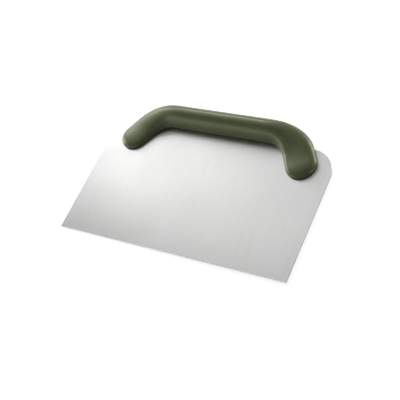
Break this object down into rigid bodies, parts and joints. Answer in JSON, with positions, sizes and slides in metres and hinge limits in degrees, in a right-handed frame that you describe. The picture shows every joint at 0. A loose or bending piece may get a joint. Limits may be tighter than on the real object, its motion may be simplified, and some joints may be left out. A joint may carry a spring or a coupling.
{
  "type": "bench scraper",
  "caption": "Wide stainless dough scraper: flat brushed blade with rounded upper corners and a moulded bow handle along its upper edge.",
  "frame": {"origin": "on the plane that the blade's back lies on, under the middle of the whole outline", "axes": "+X along the cutting edge, to the right seen from the front; +Y from the cutting edge towards the grip; +Z out of the blade's front face, the side that the handle stands on"},
  "size_m": [0.2, 0.1238, 0.0161],
  "materials": {
    "blade_steel": "fine brushing across the width, satin",
    "handle_plastic": "smooth moulded, satin sheen",
    "insert_brass": "turned",
    "screw_steel": "plain, turned head"
  },
  "bodies": {
    "root": {"blade": "blade_steel", "handle": "handle_plastic", "handle_inserts": "insert_brass", "handle_screws": "screw_steel"}
  },
  "joints": []
}
